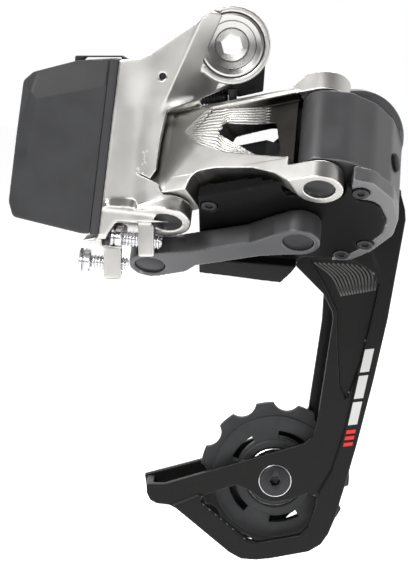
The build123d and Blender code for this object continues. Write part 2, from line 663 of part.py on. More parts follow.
def cover_screws():
    def screw(centre):
        head = rod(centre, 2.1, COVER_LEVEL[0] - 0.2, COVER_LEVEL[0] + 0.9)
        return head + rod(centre, 1.2, COVER_LEVEL[0] + 0.9, 9.5) - rod(centre, 0.9, 0, COVER_LEVEL[0] + 0.4)
    return group(screw(c) for c in SCREWS)


def front_pin_bushes():
    low, high = KNUCKLE_LEVEL
    return group([tube(P2, PIN_BUSH_R, PIN_R + PIN_GAP, low, low + 7),
                  tube(P2, PIN_BUSH_R, PIN_R + PIN_GAP, high - 7, high)])


def inner_front_bush():
    return tube(P4, PIN_BUSH_R, PIN_R + 0.08, DECK_LEVEL[0], DECK_LEVEL[1])


BUTTON = (57.3, -9.6, 17.4)
BUTTON_SKEW = -22.0


def button_plane(inset):
    skew = radians(BUTTON_SKEW)
    out = FORWARD * cos(skew) + INWARD * sin(skew)
    return Plane(origin=world(*BUTTON) - out * inset, z_dir=out)


def button_bore(radius):
    return extrude(button_plane(6.0) * Circle(radius), amount=9)


def function_button():
    return extrude(button_plane(2.6) * Circle(2.35), amount=3.4)


def button_switch():
    return extrude(button_plane(6.0) * Circle(2.3), amount=2.5)


def led_bore():
    return Pos(*(AXIS * -8.0)) * extrude(button_plane(2.5) * Circle(0.9), amount=6)


def status_led():
    return Pos(*(AXIS * -8.0)) * extrude(button_plane(2.5) * Circle(0.9), amount=2.7)


# ------------------------------------------------------------------ cage
AXLE_FRONT = -12.0
SPRING_FRONT = -7.6


STEP_DEPTH = 0.6
RECESS_DEPTH = 1.5
BAR_INSET = 0.5
BAR_WIDTH = 2.4
BAR_SLANT = 0.8
FILM_THICK = 0.08


def cage_plate_outline():
    right = [(45.2, -25.0), (44.6, -36.0), (46.8, -44.0), (47.0, -46.8), (42.5, -74.0),
             (38.9, -90.7), (34.7, -108.1), (31.9, -118.4), (28.8, -129.3), (26.9, -134.0),
             (24.9, -137.0), (21.4, -139.1)]
    bottom = [(10.8, -141.1), (6.9, -141.5), (2.8, -141.2), (-0.5, -139.4), (-15.3, -126.9),
              (-17.2, -126.1), (-20.6, -125.7), (-22.4, -124.7), (-23.3, -122.8), (-23.5, -120.1)]
    upper = [(-18.3, -120.1), (20.0, -108.7), (22.4, -106.6), (23.7, -101.9), (27.7, -74.1),
             (27.4, -72.0), (25.0, -67.1), (17.5, -59.5), (16.0, -52.0), (17.0, -40.0),
             (20.4, -26.0)]
    return make_face(Polyline(*(right + bottom + upper), close=True))


def cage_window():
    return face([(-7.7, -123.4), (1.4, -120.3), (5.0, -121.9), (8.4, -124.4), (12.1, -125.2),
                 (16.6, -124.4), (21.4, -122.6), (23.5, -123.6), (23.3, -126.0), (21.3, -132.1),
                 (19.1, -134.4), (7.6, -136.6), (4.3, -135.8), (-8.5, -124.9)])


def cage_recess():
    return face([(20.7, -57.0), (30.8, -57.1), (38.2, -61.0), (40.0, -65.0), (38.6, -72.0),
                 (35.4, -86.0), (31.6, -97.0), (29.6, -93.0), (28.9, -80.0), (28.6, -72.0),
                 (25.4, -65.2)], 0.7)


def cage_step():
    """The part of the outer plate that lies a little lower than the band down its front edge."""
    return face([(15.0, -50.0), (36.0, -50.0), (39.6, -60.0), (40.2, -64.0), (38.2, -71.4),
                 (31.2, -104.6), (27.7, -115.9), (24.0, -122.6), (10.0, -126.0), (-9.0, -123.2),
                 (-30.0, -132.0), (-30.0, -110.0), (15.0, -98.0)], 0.7)


def cage_outer_plate():
    front, back = OUTER_PLATE
    plate = upright(cage_plate_outline() + disc(CAGE_PIVOT, 12.0), front, back)
    plate -= upright(cage_window(), front - 1, back + 1)
    plate -= upright(cage_step(), front - 1, front + STEP_DEPTH)
    plate -= upright(cage_recess(), front - 1, front + RECESS_DEPTH)
    wall = [(-23.5, -120.1), (-23.3, -122.8), (-22.4, -124.7), (-20.6, -125.7), (-19.2, -125.9),
            (-20.4, -124.2), (-21.4, -122.4), (-21.5, -120.1)]
    plate += upright(make_face(Polyline(*wall, close=True)), back, INNER_PLATE[0])
    for axis in (UPPER_AXIS, LOWER_AXIS):
        plate -= y_rod(axis, 4.3, front - 1, front + 1.5)
        plate -= y_rod(axis, PULLEY_BOLT_R, front, back + 1)
    return plate - y_rod(CAGE_PIVOT, AXLE_R - 2.0, front - 1, back + 1)


def band_bars(bars):
    """Thin slanted bars of film on the raised band, each (start, end) of its length down the band."""
    along_band = Vector(-7.0, -33.2).normalized()
    across_band = Vector(-along_band.Y, along_band.X)
    origin = Vector(38.2, -71.4) + across_band * BAR_INSET
    outlines = []
    for start, end in bars:
        near = [origin + along_band * start, origin + along_band * end]
        far = [point + across_band * BAR_WIDTH - along_band * BAR_SLANT for point in reversed(near)]
        outlines.append([(point.X, point.Y) for point in near + far])
    film = (OUTER_PLATE[0] - FILM_THICK, OUTER_PLATE[0])
    return group(upright(make_face(Polyline(*outline, close=True)), *film) for outline in outlines)


def cage_stripes():
    return band_bars([(11.0, 17.5), (18.5, 25.0), (26.0, 32.5)])


def cage_accent():
    return band_bars([(34.0, 35.0), (35.8, 36.8), (37.6, 38.6)])


def cage_inner_plate():
    front, back = INNER_PLATE
    nose = [(-24.4, -120.0), (-8.5, -115.7), (19.0, -104.3), (21.6, -101.0), (25.2, -76.0),
            (25.6, -68.7), (17.6, -54.0), (14.4, -46.0), (16.0, -37.0), (23.0, -30.6),
            (31.0, -31.4), (36.6, -38.0), (37.0, -46.0), (35.6, -70.0), (33.4, -92.0),
            (29.2, -114.0), (24.6, -126.0), (16.4, -131.5), (12.2, -136.2), (8.0, -138.6),
            (2.2, -138.4), (-3.0, -135.4), (-14.0, -126.6), (-21.6, -125.4), (-24.0, -123.0)]
    plate = upright(make_face(Polyline(*nose, close=True)), front, back)
    slot = upright(hull((32.6, -58.0, 2.0), (31.0, -88.0, 1.6)), front - 1, back + 1)
    holes = [y_rod(axis, PULLEY_BOLT_R, front - 1, back + 1) for axis in (UPPER_AXIS, LOWER_AXIS)]
    return plate - slot - holes[0] - holes[1]


def cage_axle():
    front, back = OUTER_PLATE
    stem = y_tube(CAGE_PIVOT, AXLE_R, 3.0, AXLE_FRONT, DRUM_BACK + 0.1)
    neck = y_tube(CAGE_PIVOT, AXLE_R, 3.0, DRUM_BACK + 0.1, front)
    return stem + neck + y_tube(CAGE_PIVOT, AXLE_R - 2.0, 3.0, front, back)


def cage_pivot_bush():
    return y_tube(CAGE_PIVOT, AXLE_R + 1.0, AXLE_R + RUNNING_GAP, AXLE_FRONT, SPRING_FRONT)


SPRING_WIRE_R = 0.8
SPRING_R = 9.6


def cage_spring():
    pitch = 2.0
    path = Helix(pitch, pitch * 3, SPRING_R)
    start = path @ 0
    section = Plane(origin=start, z_dir=path % 0) * Circle(SPRING_WIRE_R)
    coil = sweep(section, path=path, is_frenet=True)
    return Pos(CAGE_PIVOT[0], 0, CAGE_PIVOT[1]) * Rot(90, 0, 0) * coil


def pulley_bolts():
    def bolt(axis):
        head = y_rod(axis, 4.2, OUTER_PLATE[0] + 0.1, OUTER_PLATE[0] + 1.5)
        shank = y_rod(axis, PULLEY_BOLT_R, OUTER_PLATE[0] + 1.5, INNER_PLATE[1])
        socket = upright(Pos(*axis) * RegularPolygon(1.45, 6), OUTER_PLATE[0], OUTER_PLATE[0] + 2.6)
        return head + shank - socket
    return group(bolt(axis) for axis in (UPPER_AXIS, LOWER_AXIS))


def bearing_inner_races():
    def race(axis):
        sleeve = y_tube(axis, 3.4, PULLEY_BOLT_R, OUTER_PLATE[1], INNER_PLATE[0])
        return sleeve + y_tube(axis, BEARING_BORE_R + 0.8, 3.0, CHAIN_Y - BEARING_HALF, CHAIN_Y + BEARING_HALF)
    return group(race(axis) for axis in (UPPER_AXIS, LOWER_AXIS))


# ------------------------------------------------------------------ pulleys
SLOT_ANGLES = [66.0 + 72.0 * i for i in range(5)]
SLOT_INNER_R = 11.1
SLOT_OUTER_R = 13.0
SLOT_HALF = 19.0           # half the angle a slot spans
ROOT_DISC_R = 17.2


def pulley(axis, phase):
    blank = disc((0, 0), TIP_R)
    for i in range(TEETH):
        angle = phase + 360.0 / TEETH * (i + 0.5)
        blank -= disc(polar((0, 0), PITCH_R, angle), ROLLER_R)
    teeth = upright(blank, CHAIN_Y - TOOTH_HALF, CHAIN_Y + TOOTH_HALF)
    body = teeth + y_rod((0, 0), ROOT_DISC_R, CHAIN_Y - PULLEY_HALF, CHAIN_Y + PULLEY_HALF)
    for angle in SLOT_ANGLES:
        ring = disc((0, 0), SLOT_OUTER_R) - disc((0, 0), SLOT_INNER_R)
        corners = [(0, 0)] + [polar((0, 0), TIP_R, angle + swing) for swing in (-SLOT_HALF, SLOT_HALF)]
        body -= upright(ring & make_face(Polyline(*corners, close=True)), 0, 2 * CHAIN_Y)
    body -= y_rod((0, 0), BEARING_R, 0, 2 * CHAIN_Y)
    return Pos(axis[0], 0, axis[1]) * body


def bearing_outer(axis):
    return y_tube(axis, BEARING_R, BEARING_R - 1.4, CHAIN_Y - BEARING_HALF, CHAIN_Y + BEARING_HALF)


BALL_R = 0.85
BALL_CIRCLE_R = 5.7


def bearing_balls(axis):
    count = 11
    spots = [polar(axis, BALL_CIRCLE_R, 360 / count * i) for i in range(count)]
    return group(Pos(x, CHAIN_Y, z) * Sphere(BALL_R) for x, z in spots)


def bearing_seals(axis):
    def seal(y):
        return y_tube(axis, BEARING_R - 1.4, BEARING_BORE_R + 0.9, y, y + 0.4)
    return group([seal(CHAIN_Y - BEARING_HALF + 0.1), seal(CHAIN_Y + BEARING_HALF - 0.5)])


# ------------------------------------------------------------------ write every piece
PIECES = {
    "b_knuckle": b_knuckle,
    "hanger_bush": hanger_bush,
    "hanger_seal": hanger_seal,
    "rear_link_pin": rear_link_pin,
    "inner_rear_bush": inner_rear_bush,
    "grub_screw": grub_screw,
    "contact_block": contact_block,
    "contact_pins": contact_pins,
    "latch_pin": latch_pin,
    "hanger_bolt": hanger_bolt,
    "b_stop_plate": b_stop_plate,
    "b_tension_screw": b_tension_screw,
    "high_limit_screw": lambda: limit_screw(HIGH_SCREW, 13.4),
    "low_limit_screw": lambda: limit_screw(LOW_SCREW, 12.8),
    "battery_cover": battery_cover,
    "battery_base": battery_base,
    "battery_cell": battery_cell,
    "battery_contacts": battery_contacts,
    "battery_latch": battery_latch,
    "outer_link": outer_link,
    "outer_link_bushes": outer_link_bushes,
    "front_link_pin": front_link_pin,
    "inner_link": inner_link,
    "inner_rear_pin": inner_rear_pin,
    "inner_front_pin": inner_front_pin,
    "drive_sector": drive_sector,
    "p_knuckle": p_knuckle,
    "knuckle_ring": knuckle_ring,
    "gearbox_housing": gearbox_housing,
    "gearbox_cover": gearbox_cover,
    "cover_screws": cover_screws,
    "motor": motor,
    "control_board": control_board,
    "status_led": status_led,
    "button_switch": button_switch,
    "front_pin_bushes": front_pin_bushes,
    "inner_front_bush": inner_front_bush,
    "cage_pivot_bush": cage_pivot_bush,
    "cage_spring": cage_spring,
    "idler_pin": idler_pin,
    "idler_gear": idler_gear,
    "motor_pinion": motor_pinion,
    "function_button": function_button,
    "cage_outer_plate": cage_outer_plate,
    "cage_stripes": cage_stripes,
    "cage_accent": cage_accent,
    "cage_inner_plate": cage_inner_plate,
    "cage_axle": cage_axle,
    "pulley_bolts": pulley_bolts,
    "bearing_inner_races": bearing_inner_races,
    "upper_pulley": lambda: pulley(UPPER_AXIS, 97.7),
    "upper_bearing_outer": lambda: bearing_outer(UPPER_AXIS),
    "upper_bearing_balls": lambda: bearing_balls(UPPER_AXIS),
    "upper_bearing_seals": lambda: bearing_seals(UPPER_AXIS),
    "lower_pulley": lambda: pulley(LOWER_AXIS, 97.7),
    "lower_bearing_outer": lambda: bearing_outer(LOWER_AXIS),
    "lower_bearing_balls": lambda: bearing_balls(LOWER_AXIS),
    "lower_bearing_seals": lambda: bearing_seals(LOWER_AXIS),
}

os.makedirs("parts", exist_ok=True)
for name, make in PIECES.items():
    export_step(make(), "parts/" + name + ".step")
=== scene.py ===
import bmesh
import bpy
import json
from math import cos, exp, pi, radians, sin
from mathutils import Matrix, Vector


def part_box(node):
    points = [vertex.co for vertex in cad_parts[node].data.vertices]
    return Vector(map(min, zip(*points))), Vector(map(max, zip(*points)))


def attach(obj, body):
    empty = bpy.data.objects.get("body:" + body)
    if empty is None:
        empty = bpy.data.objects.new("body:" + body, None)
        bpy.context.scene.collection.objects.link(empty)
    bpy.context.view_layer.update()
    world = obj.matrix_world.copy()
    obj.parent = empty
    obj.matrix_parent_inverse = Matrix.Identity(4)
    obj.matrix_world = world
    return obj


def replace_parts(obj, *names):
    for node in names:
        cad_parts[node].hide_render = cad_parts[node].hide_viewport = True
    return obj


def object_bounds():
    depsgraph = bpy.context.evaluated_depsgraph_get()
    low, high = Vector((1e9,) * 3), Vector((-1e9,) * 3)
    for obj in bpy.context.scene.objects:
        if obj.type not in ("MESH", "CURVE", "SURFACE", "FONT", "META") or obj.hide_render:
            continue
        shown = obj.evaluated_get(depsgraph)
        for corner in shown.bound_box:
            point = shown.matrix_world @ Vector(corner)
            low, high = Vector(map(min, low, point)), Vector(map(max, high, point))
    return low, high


# Looks for a rear derailleur.  Metres, in the CAD frame: the origin is on the hanger bolt axis,
# +X is bike forward, +Y inboard and +Z up.  Lengths that are easier to read in millimetres
# are written as numbers times MM.

MM = 0.001

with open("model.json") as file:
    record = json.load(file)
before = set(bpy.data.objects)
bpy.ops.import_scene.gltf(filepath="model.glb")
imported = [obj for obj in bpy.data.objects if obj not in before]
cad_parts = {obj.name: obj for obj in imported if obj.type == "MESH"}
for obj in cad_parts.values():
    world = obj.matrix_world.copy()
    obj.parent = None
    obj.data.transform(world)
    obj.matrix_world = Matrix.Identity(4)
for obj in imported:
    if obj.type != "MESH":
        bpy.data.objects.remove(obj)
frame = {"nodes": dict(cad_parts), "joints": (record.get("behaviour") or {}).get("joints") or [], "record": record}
cad_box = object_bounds()
NODES = frame["nodes"]
JOINTS = {j["name"]: j for j in frame["joints"]}
BODY_OF = {n: b for b, ns in frame["record"]["behaviour"]["bodies"].items() for n in ns}

# the outer link's own directions: along it, across it (inboard) and along its pivots
REAR = Vector(JOINTS["outer_link_hinge"]["pos_m"])
FRONT = Vector(JOINTS["p_knuckle_hinge"]["pos_m"])
AXIS = Vector(JOINTS["outer_link_hinge"]["axis"]).normalized()
ALONG = (FRONT - REAR).normalized()
ACROSS = AXIS.cross(ALONG)
LOWER_AXIS = Vector(JOINTS["lower_pulley_spin"]["pos_m"])


def link_place(point):
    """A point's place on the outer link: millimetres along it, across it and up the pivots."""
    away = (point - REAR) / MM
    return away.dot(ALONG), away.dot(ACROSS), away.dot(AXIS)


def ease(value, low, high):
    """0 below low, 1 above high and a smooth step between."""
    t = min(1.0, max(0.0, (value - low) / (high - low)))
    return t * t * (3 - 2 * t)


# ------------------------------------------------------------------ camera, light and floor
def add_camera():
    data = bpy.data.cameras.new("camera")
    data.lens = 113.5
    data.sensor_width = 36.0
    data.clip_start = 0.01
    camera = bpy.data.objects.new("camera", data)
    camera.location = (0, -0.480, 0)
    camera.rotation_euler = (radians(90 - 7.601), 0, radians(0.888))
    bpy.context.scene.collection.objects.link(camera)
    bpy.context.scene.camera = camera


def add_area(name, place, target, size, watts, colour=(1, 1, 1)):
    data = bpy.data.lights.new(name, "AREA")
    data.shape = "RECTANGLE"
    data.size, data.size_y = size
    data.energy = watts
    data.color = colour
    light = bpy.data.objects.new(name, data)
    light.location = place
    aim = Vector(target) - Vector(place)
    light.rotation_euler = aim.to_track_quat("-Z", "Y").to_euler()
    bpy.context.scene.collection.objects.link(light)


def add_lights():
    centre = (0.0, 0.0, -0.06)
    add_area("key", (-0.50, -0.55, 0.70), centre, (0.45, 0.35), 8.0)
    add_area("fill", (0.85, -0.45, 0.20), centre, (0.25, 0.60), 2.5)
    add_area("top_back", (0.10, 0.45, 0.75), centre, (0.60, 0.30), 7.0)
    add_area("front_card", (-0.10, -0.90, 0.25), centre, (0.16, 0.30), 1.2)


def add_world():
    world = bpy.data.worlds.new("studio")
    bpy.context.scene.world = world
    world.use_nodes = True
    tree = world.node_tree
    background = tree.nodes["Background"]
    coords = tree.nodes.new("ShaderNodeTexCoord")
    split = tree.nodes.new("ShaderNodeSeparateXYZ")
    ramp = tree.nodes.new("ShaderNodeValToRGB")
    tree.links.new(coords.outputs["Generated"], split.inputs[0])
    depth = tree.nodes.new("ShaderNodeMath")
    depth.operation = "MULTIPLY_ADD"
    depth.inputs[1].default_value = 0.5
    depth.inputs[2].default_value = 0.5
    tree.links.new(split.outputs["Y"], depth.inputs[0])
    tree.links.new(depth.outputs[0], ramp.inputs["Fac"])
    ramp.color_ramp.elements[0].position = 0.30
    ramp.color_ramp.elements[0].color = (0.05, 0.05, 0.052, 1)
    ramp.color_ramp.elements[1].position = 0.70
    ramp.color_ramp.elements[1].color = (1, 1, 1, 1)
    tree.links.new(ramp.outputs["Color"], background.inputs["Color"])
    background.inputs["Strength"].default_value = 1.0


def add_floor():
    bpy.ops.mesh.primitive_plane_add(size=6.0, location=(0, 1.0, cad_box[0][2] - 0.06))
    floor = bpy.context.object
    floor.name = "floor"
    material = bpy.data.materials.new("floor_paper")
    material.use_nodes = True
    shader = material.node_tree.nodes["Principled BSDF"]
    shader.inputs["Base Color"].default_value = (0.95, 0.95, 0.95, 1)
    shader.inputs["Roughness"].default_value = 0.9
    shader.inputs["Emission Color"].default_value = (1, 1, 1, 1)
    shader.inputs["Emission Strength"].default_value = 0.45
    floor.data.materials.append(material)


# ------------------------------------------------------------------ materials
class Build:
    """A material's node tree, with short calls for the nodes that this file uses."""

    def __init__(self, name, base, metallic=0.0, roughness=0.5, **sockets):
        self.material = bpy.data.materials.new(name)
        self.material.use_nodes = True
        self.material.diffuse_color = (*base, 1)
        self.tree = self.material.node_tree
        self.shader = self.tree.nodes["Principled BSDF"]
        self.base = base
        self.roughness = roughness
        self.set("Base Color", (*base, 1))
        self.set("Metallic", metallic)
        self.set("Roughness", roughness)
        for key, value in sockets.items():
            self.set(key.replace("_", " "), value)
        self.coords = self.tree.nodes.new("ShaderNodeTexCoord").outputs["Object"]
        self.height = None

    def set(self, key, value):
        self.shader.inputs[key].default_value = value

    def link(self, source, target):
        self.tree.links.new(source, target)

    def node(self, kind, **inputs):
        made = self.tree.nodes.new("ShaderNode" + kind)
        for key, value in inputs.items():
            socket = made.inputs[key.replace("_", " ")]
            if hasattr(value, "links"):
                self.link(value, socket)
            else:
                socket.default_value = value
        return made

    def noise(self, size, detail=3.0, stretch=(1, 1, 1), distortion=0.0):
        """Noise whose features are about size metres across."""
        mapping = self.node("Mapping", Vector=self.coords, Scale=stretch)
        made = self.node("TexNoise", Vector=mapping.outputs[0], Scale=1 / size, Detail=detail,
                         Distortion=distortion)
        return made.outputs["Fac"]

    def span(self, value, low_in, high_in, low_out, high_out):
        made = self.node("MapRange", Value=value)
        for key, number in (("From Min", low_in), ("From Max", high_in),
                            ("To Min", low_out), ("To Max", high_out)):
            made.inputs[key].default_value = number
        return made.outputs[0]

    def vary_roughness(self, value, low, high):
        self.link(self.span(value, 0.3, 0.7, low, high), self.shader.inputs["Roughness"])

    def tint(self, value, first, second, low=0.3, high=0.7):
        """Colour running from first to second as value runs from low to high."""
        ramp = self.node("ValToRGB", Fac=value)
        ramp.color_ramp.elements[0].position = low
        ramp.color_ramp.elements[0].color = (*first, 1)
        ramp.color_ramp.elements[1].position = high
        ramp.color_ramp.elements[1].color = (*second, 1)
        return ramp.outputs["Color"]

    def painted_edge_highlight(self, colour, edge, low=0.52, high=0.60):
        """Paints a highlight on convex edges: the edge colour stands in for light caught on their rounded edges.
        """
        geometry = self.tree.nodes.new("ShaderNodeNewGeometry")
        amount = self.span(geometry.outputs["Pointiness"], low, high, 0, 1)
        mix = self.tree.nodes.new("ShaderNodeMix")
        mix.data_type = "RGBA"
        self.link(amount, mix.inputs["Factor"])
        self.link(colour, mix.inputs["A"])
        mix.inputs["B"].default_value = (*edge, 1)
        return mix.outputs["Result"]

    def colour(self, output):
        self.link(output, self.shader.inputs["Base Color"])

    def bump(self, value, depth, strength=1.0):
        """Adds a height, in metres, on top of any bump made before."""
        made = self.node("Bump", Height=value, Distance=depth, Strength=strength)
        if self.height is not None:
            self.link(self.height, made.inputs["Normal"])
        self.height = made.outputs["Normal"]
        self.link(self.height, self.shader.inputs["Normal"])


def scaled(colour, factor):
    """A colour made lighter or darker, kept at or under full white."""
    return tuple(min(1.0, c * factor) for c in colour)


def cast_metal(name, base, roughness, grain=0.25 * MM, edge=1.25, metallic=1.0, painted_shade_colour=None):
    """Bead blasted and anodised castings: fine grain, soft blotches and a painted highlight on the edges.
    Where a mesh carries an attribute of painted shade, the colour runs to the given shade colour."""
    made = Build(name, base, metallic=metallic, roughness=roughness)
    blotch = made.noise(9 * MM, detail=4)
    fine = made.noise(grain, detail=2)
    made.vary_roughness(blotch, roughness - 0.05, roughness + 0.06)
    # the edge colour is a painted highlight on convex edges
    metal = made.painted_edge_highlight(made.tint(blotch, scaled(base, 0.93), scaled(base, 1.05)), scaled(base, edge))
    # painted shade: where the mesh's attribute says, the colour runs to the shade colour
    if painted_shade_colour is not None:
        mask = made.tree.nodes.new("ShaderNodeAttribute")
        mask.attribute_name = "painted_shade"
        mix = made.tree.nodes.new("ShaderNodeMix")
        mix.data_type = "RGBA"
        made.link(mask.outputs["Fac"], mix.inputs["Factor"])
        made.link(metal, mix.inputs["A"])
        mix.inputs["B"].default_value = (*painted_shade_colour, 1)
        metal = mix.outputs["Result"]
    made.colour(metal)
    made.bump(fine, 0.012 * MM, 0.35)
    made.bump(made.noise(3.5 * MM, detail=2), 0.03 * MM, 0.25)
    return made.material


def turned_metal(name, base, roughness, pitch=0.28 * MM, metallic=1.0):
    """Machined and turned pieces, with fine circular tool lines round the Y axis."""
    made = Build(name, base, metallic=metallic, roughness=roughness)
    lines = made.node("TexWave", Vector=made.coords, Scale=0.32 / pitch, Distortion=0.4, Detail=2.0)
    lines.wave_type = "RINGS"
    lines.rings_direction = "Y"
    smudge = made.noise(4 * MM, detail=4)
    made.vary_roughness(smudge, roughness - 0.05, roughness + 0.08)
    # the edge colour is a painted highlight on convex edges
    made.colour(made.painted_edge_highlight(made.tint(smudge, scaled(base, 0.9), scaled(base, 1.06)), scaled(base, 1.3)))
    made.bump(lines.outputs["Fac"], 0.004 * MM, 0.3)
    return made.material


def moulded(name, base, roughness, grain=0.22 * MM, depth=0.02 * MM, edge=1.5, gloss=0.3):
    """Moulded polymer with a spark-eroded skin, and a painted highlight that makes its edges a little paler."""
    made = Build(name, base, roughness=roughness, Specular_IOR_Level=gloss)
    cells = made.node("TexVoronoi", Vector=made.coords, Scale=1 / grain)
    cloud = made.noise(6 * MM, detail=5)
    made.vary_roughness(cloud, roughness - 0.05, roughness + 0.07)
    made.colour(made.painted_edge_highlight(made.tint(cloud, scaled(base, 0.85), scaled(base, 1.15)), scaled(base, edge)))
    made.bump(cells.outputs["Distance"], depth, 0.35)
    made.bump(made.noise(1.1 * MM, detail=3), 0.02 * MM, 0.25)
    return made.material


def woven_carbon(name, base, roughness):
    """Twill carbon under satin lacquer: two directions of tow, alternating in a checker."""
    made = Build(name, base, roughness=roughness, Coat_Weight=0.10, Coat_Roughness=0.12,
                 Specular_IOR_Level=0.10)
    turn = made.node("Mapping", Vector=made.coords, Rotation=(0, radians(38), 0))
    grid = made.node("TexChecker", Vector=turn.outputs[0], Scale=1 / (1.3 * MM))
    warp = made.node("TexWave", Vector=turn.outputs[0], Scale=0.32 / (0.22 * MM), Distortion=0.6)
    warp.bands_direction = "X"
    weft = made.node("TexWave", Vector=turn.outputs[0], Scale=0.32 / (0.22 * MM), Distortion=0.6)
    weft.bands_direction = "Z"
    mix = made.tree.nodes.new("ShaderNodeMix")
    mix.data_type = "FLOAT"
    made.link(grid.outputs["Fac"], mix.inputs["Factor"])
    made.link(warp.outputs["Fac"], mix.inputs["A"])
    made.link(weft.outputs["Fac"], mix.inputs["B"])
    cloth = made.tint(mix.outputs["Result"], scaled(base, 0.5), scaled(base, 1.7), 0.2, 0.8)
    # a strong painted highlight on the convex edges, at 26 times the base colour
    made.colour(made.painted_edge_highlight(cloth, scaled(base, 26.0), 0.53, 0.60))
    made.vary_roughness(made.noise(5 * MM, detail=4), roughness - 0.06, roughness + 0.08)
    made.bump(mix.outputs["Result"], 0.008 * MM, 0.35)
    return made.material


def drawn_steel(name, base, roughness, metallic=1.0):
    """Drawn or ground steel, with fine lines along the pivot axes."""
    made = Build(name, base, metallic=metallic, roughness=roughness)
    lines = made.noise(0.3 * MM, detail=3, stretch=(1, 0.15, 0.15))
    spots = made.noise(2.5 * MM, detail=5)
    made.vary_roughness(spots, roughness - 0.06, roughness + 0.1)
    # the edge colour is a painted highlight on convex edges
    made.colour(made.painted_edge_highlight(made.tint(spots, scaled(base, 0.8), scaled(base, 1.15)), scaled(base, 1.8)))
    made.bump(lines, 0.01 * MM, 0.3)
    return made.material


def soft_rubber(name, base):
    made = Build(name, base, roughness=0.62, Specular_IOR_Level=0.35)
    cloud = made.noise(1.5 * MM, detail=5)
    made.vary_roughness(cloud, 0.55, 0.72)
    made.colour(made.tint(cloud, scaled(base, 0.8), scaled(base, 1.3)))
    made.bump(made.noise(0.3 * MM, detail=3), 0.015 * MM, 0.4)
    return made.material


def circuit_board(name, base):
    made = Build(name, base, roughness=0.35, Coat_Weight=0.3)
    tracks = made.node("TexBrick", Vector=made.coords, Scale=1 / (1.2 * MM))
    made.colour(made.tint(tracks.outputs["Fac"], base, scaled(base, 2.2), 0.4, 0.6))
    made.vary_roughness(made.noise(2 * MM), 0.28, 0.42)
    made.bump(tracks.outputs["Fac"], 0.02 * MM, 0.5)
    return made.material


def light_pipe(name, base):
    made = Build(name, base, roughness=0.12, Transmission_Weight=0.75, IOR=1.49)
    haze = made.noise(0.8 * MM, detail=4)
    made.vary_roughness(haze, 0.08, 0.2)
    made.bump(haze, 0.01 * MM, 0.3)
    return made.material


# edge: the factor on the base colour of the painted highlight on convex edges
MATERIALS = {
    # silver castings: the second colour is painted shade, laid into the front of the outer link's recess
    "silver_aluminium": cast_metal("silver_aluminium", (0.56, 0.55, 0.53), 0.34, edge=1.4,
                                   painted_shade_colour=(0.035, 0.033, 0.03)),
    "bright_aluminium": turned_metal("bright_aluminium", (0.50, 0.495, 0.48), 0.30),
    "graphite_knuckle": cast_metal("graphite_knuckle", (0.085, 0.085, 0.088), 0.40, metallic=0.6, edge=2.2),
    "graphite_ring": cast_metal("graphite_ring", (0.15, 0.15, 0.153), 0.40, metallic=0.7, edge=2.0),
    "graphite_link": cast_metal("graphite_link", (0.075, 0.075, 0.078), 0.38, metallic=0.6, edge=2.2),
    "black_anodised": turned_metal("black_anodised", (0.022, 0.022, 0.024), 0.36, metallic=0.5),
    "black_plastic": moulded("black_plastic", (0.004, 0.004, 0.0042), 0.38, edge=4.0, gloss=0.06),
    "battery_plastic": moulded("battery_plastic", (0.034, 0.0345, 0.036), 0.5, gloss=0.3),
    "battery_base_plastic": moulded("battery_base_plastic", (0.030, 0.030, 0.032), 0.48),
    "carbon": woven_carbon("carbon", (0.007, 0.007, 0.0068), 0.36),
    "pulley_plastic": moulded("pulley_plastic", (0.030, 0.0305, 0.032), 0.46, grain=0.3 * MM, gloss=0.25),
    "dark_steel": drawn_steel("dark_steel", (0.030, 0.030, 0.032), 0.36, metallic=0.8),
    "steel": drawn_steel("steel", (0.55, 0.55, 0.56), 0.28),
    "bright_steel": drawn_steel("bright_steel", (0.42, 0.42, 0.43), 0.2),
    "dry_bush": moulded("dry_bush", (0.16, 0.14, 0.11), 0.6),
    "rubber_seal": soft_rubber("rubber_seal", (0.03, 0.03, 0.032)),
    "gold_contact": drawn_steel("gold_contact", (0.78, 0.56, 0.22), 0.25),
    "cell_foil": drawn_steel("cell_foil", (0.45, 0.45, 0.47), 0.3),
    "acetal": moulded("acetal", (0.75, 0.73, 0.68), 0.42, edge=1.1),
    "board": circuit_board("board", (0.015, 0.09, 0.04)),
    "pale_film": moulded("pale_film", (0.50, 0.50, 0.49), 0.35, edge=1.1),
    "red_film": moulded("red_film", (0.60, 0.02, 0.02), 0.35, edge=1.1),
    "lens": light_pipe("lens", (0.8, 0.86, 0.8)),
    "ceramic": moulded("ceramic", (0.82, 0.82, 0.79), 0.15, depth=0.002 * MM, edge=1.05),
}
SLOT_OF = {s["node"]: s["material_slot"] for s in frame["record"]["subparts"]}


# ------------------------------------------------------------------ turning CAD shapes into finished pieces
SMOOTH_FACTOR = 0.5
WELD = 0.002 * MM


def put(obj, material):
    obj.data.materials.clear()
    obj.data.materials.append(MATERIALS[material])


def place(obj, body, material):
    """Gives a new piece its material and slot, and makes it ride on its body."""
    put(obj, material)
    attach(obj, body)
    return obj


def new_piece(name, mesh):
    obj = bpy.data.objects.new(name, mesh)
    bpy.context.scene.collection.objects.link(obj)
    return obj


def copy_node(node, name):
    """A copy of a CAD node's mesh with its corners welded, as a new object."""
    obj = new_piece(name, NODES[node].data.copy())
    grid = bmesh.new()
    grid.from_mesh(obj.data)
    bmesh.ops.remove_doubles(grid, verts=grid.verts, dist=WELD)
    bmesh.ops.recalc_face_normals(grid, faces=grid.faces)
    grid.to_mesh(obj.data)
    grid.free()
    return obj


def apply_modifiers(obj):
    depsgraph = bpy.context.evaluated_depsgraph_get()
    mesh = bpy.data.meshes.new_from_object(obj.evaluated_get(depsgraph))
    obj.modifiers.clear()
    obj.data = mesh


def shade(obj, angle=35):
    for polygon in obj.data.polygons:
        polygon.use_smooth = True
    obj.data.set_sharp_from_angle(angle=radians(angle))


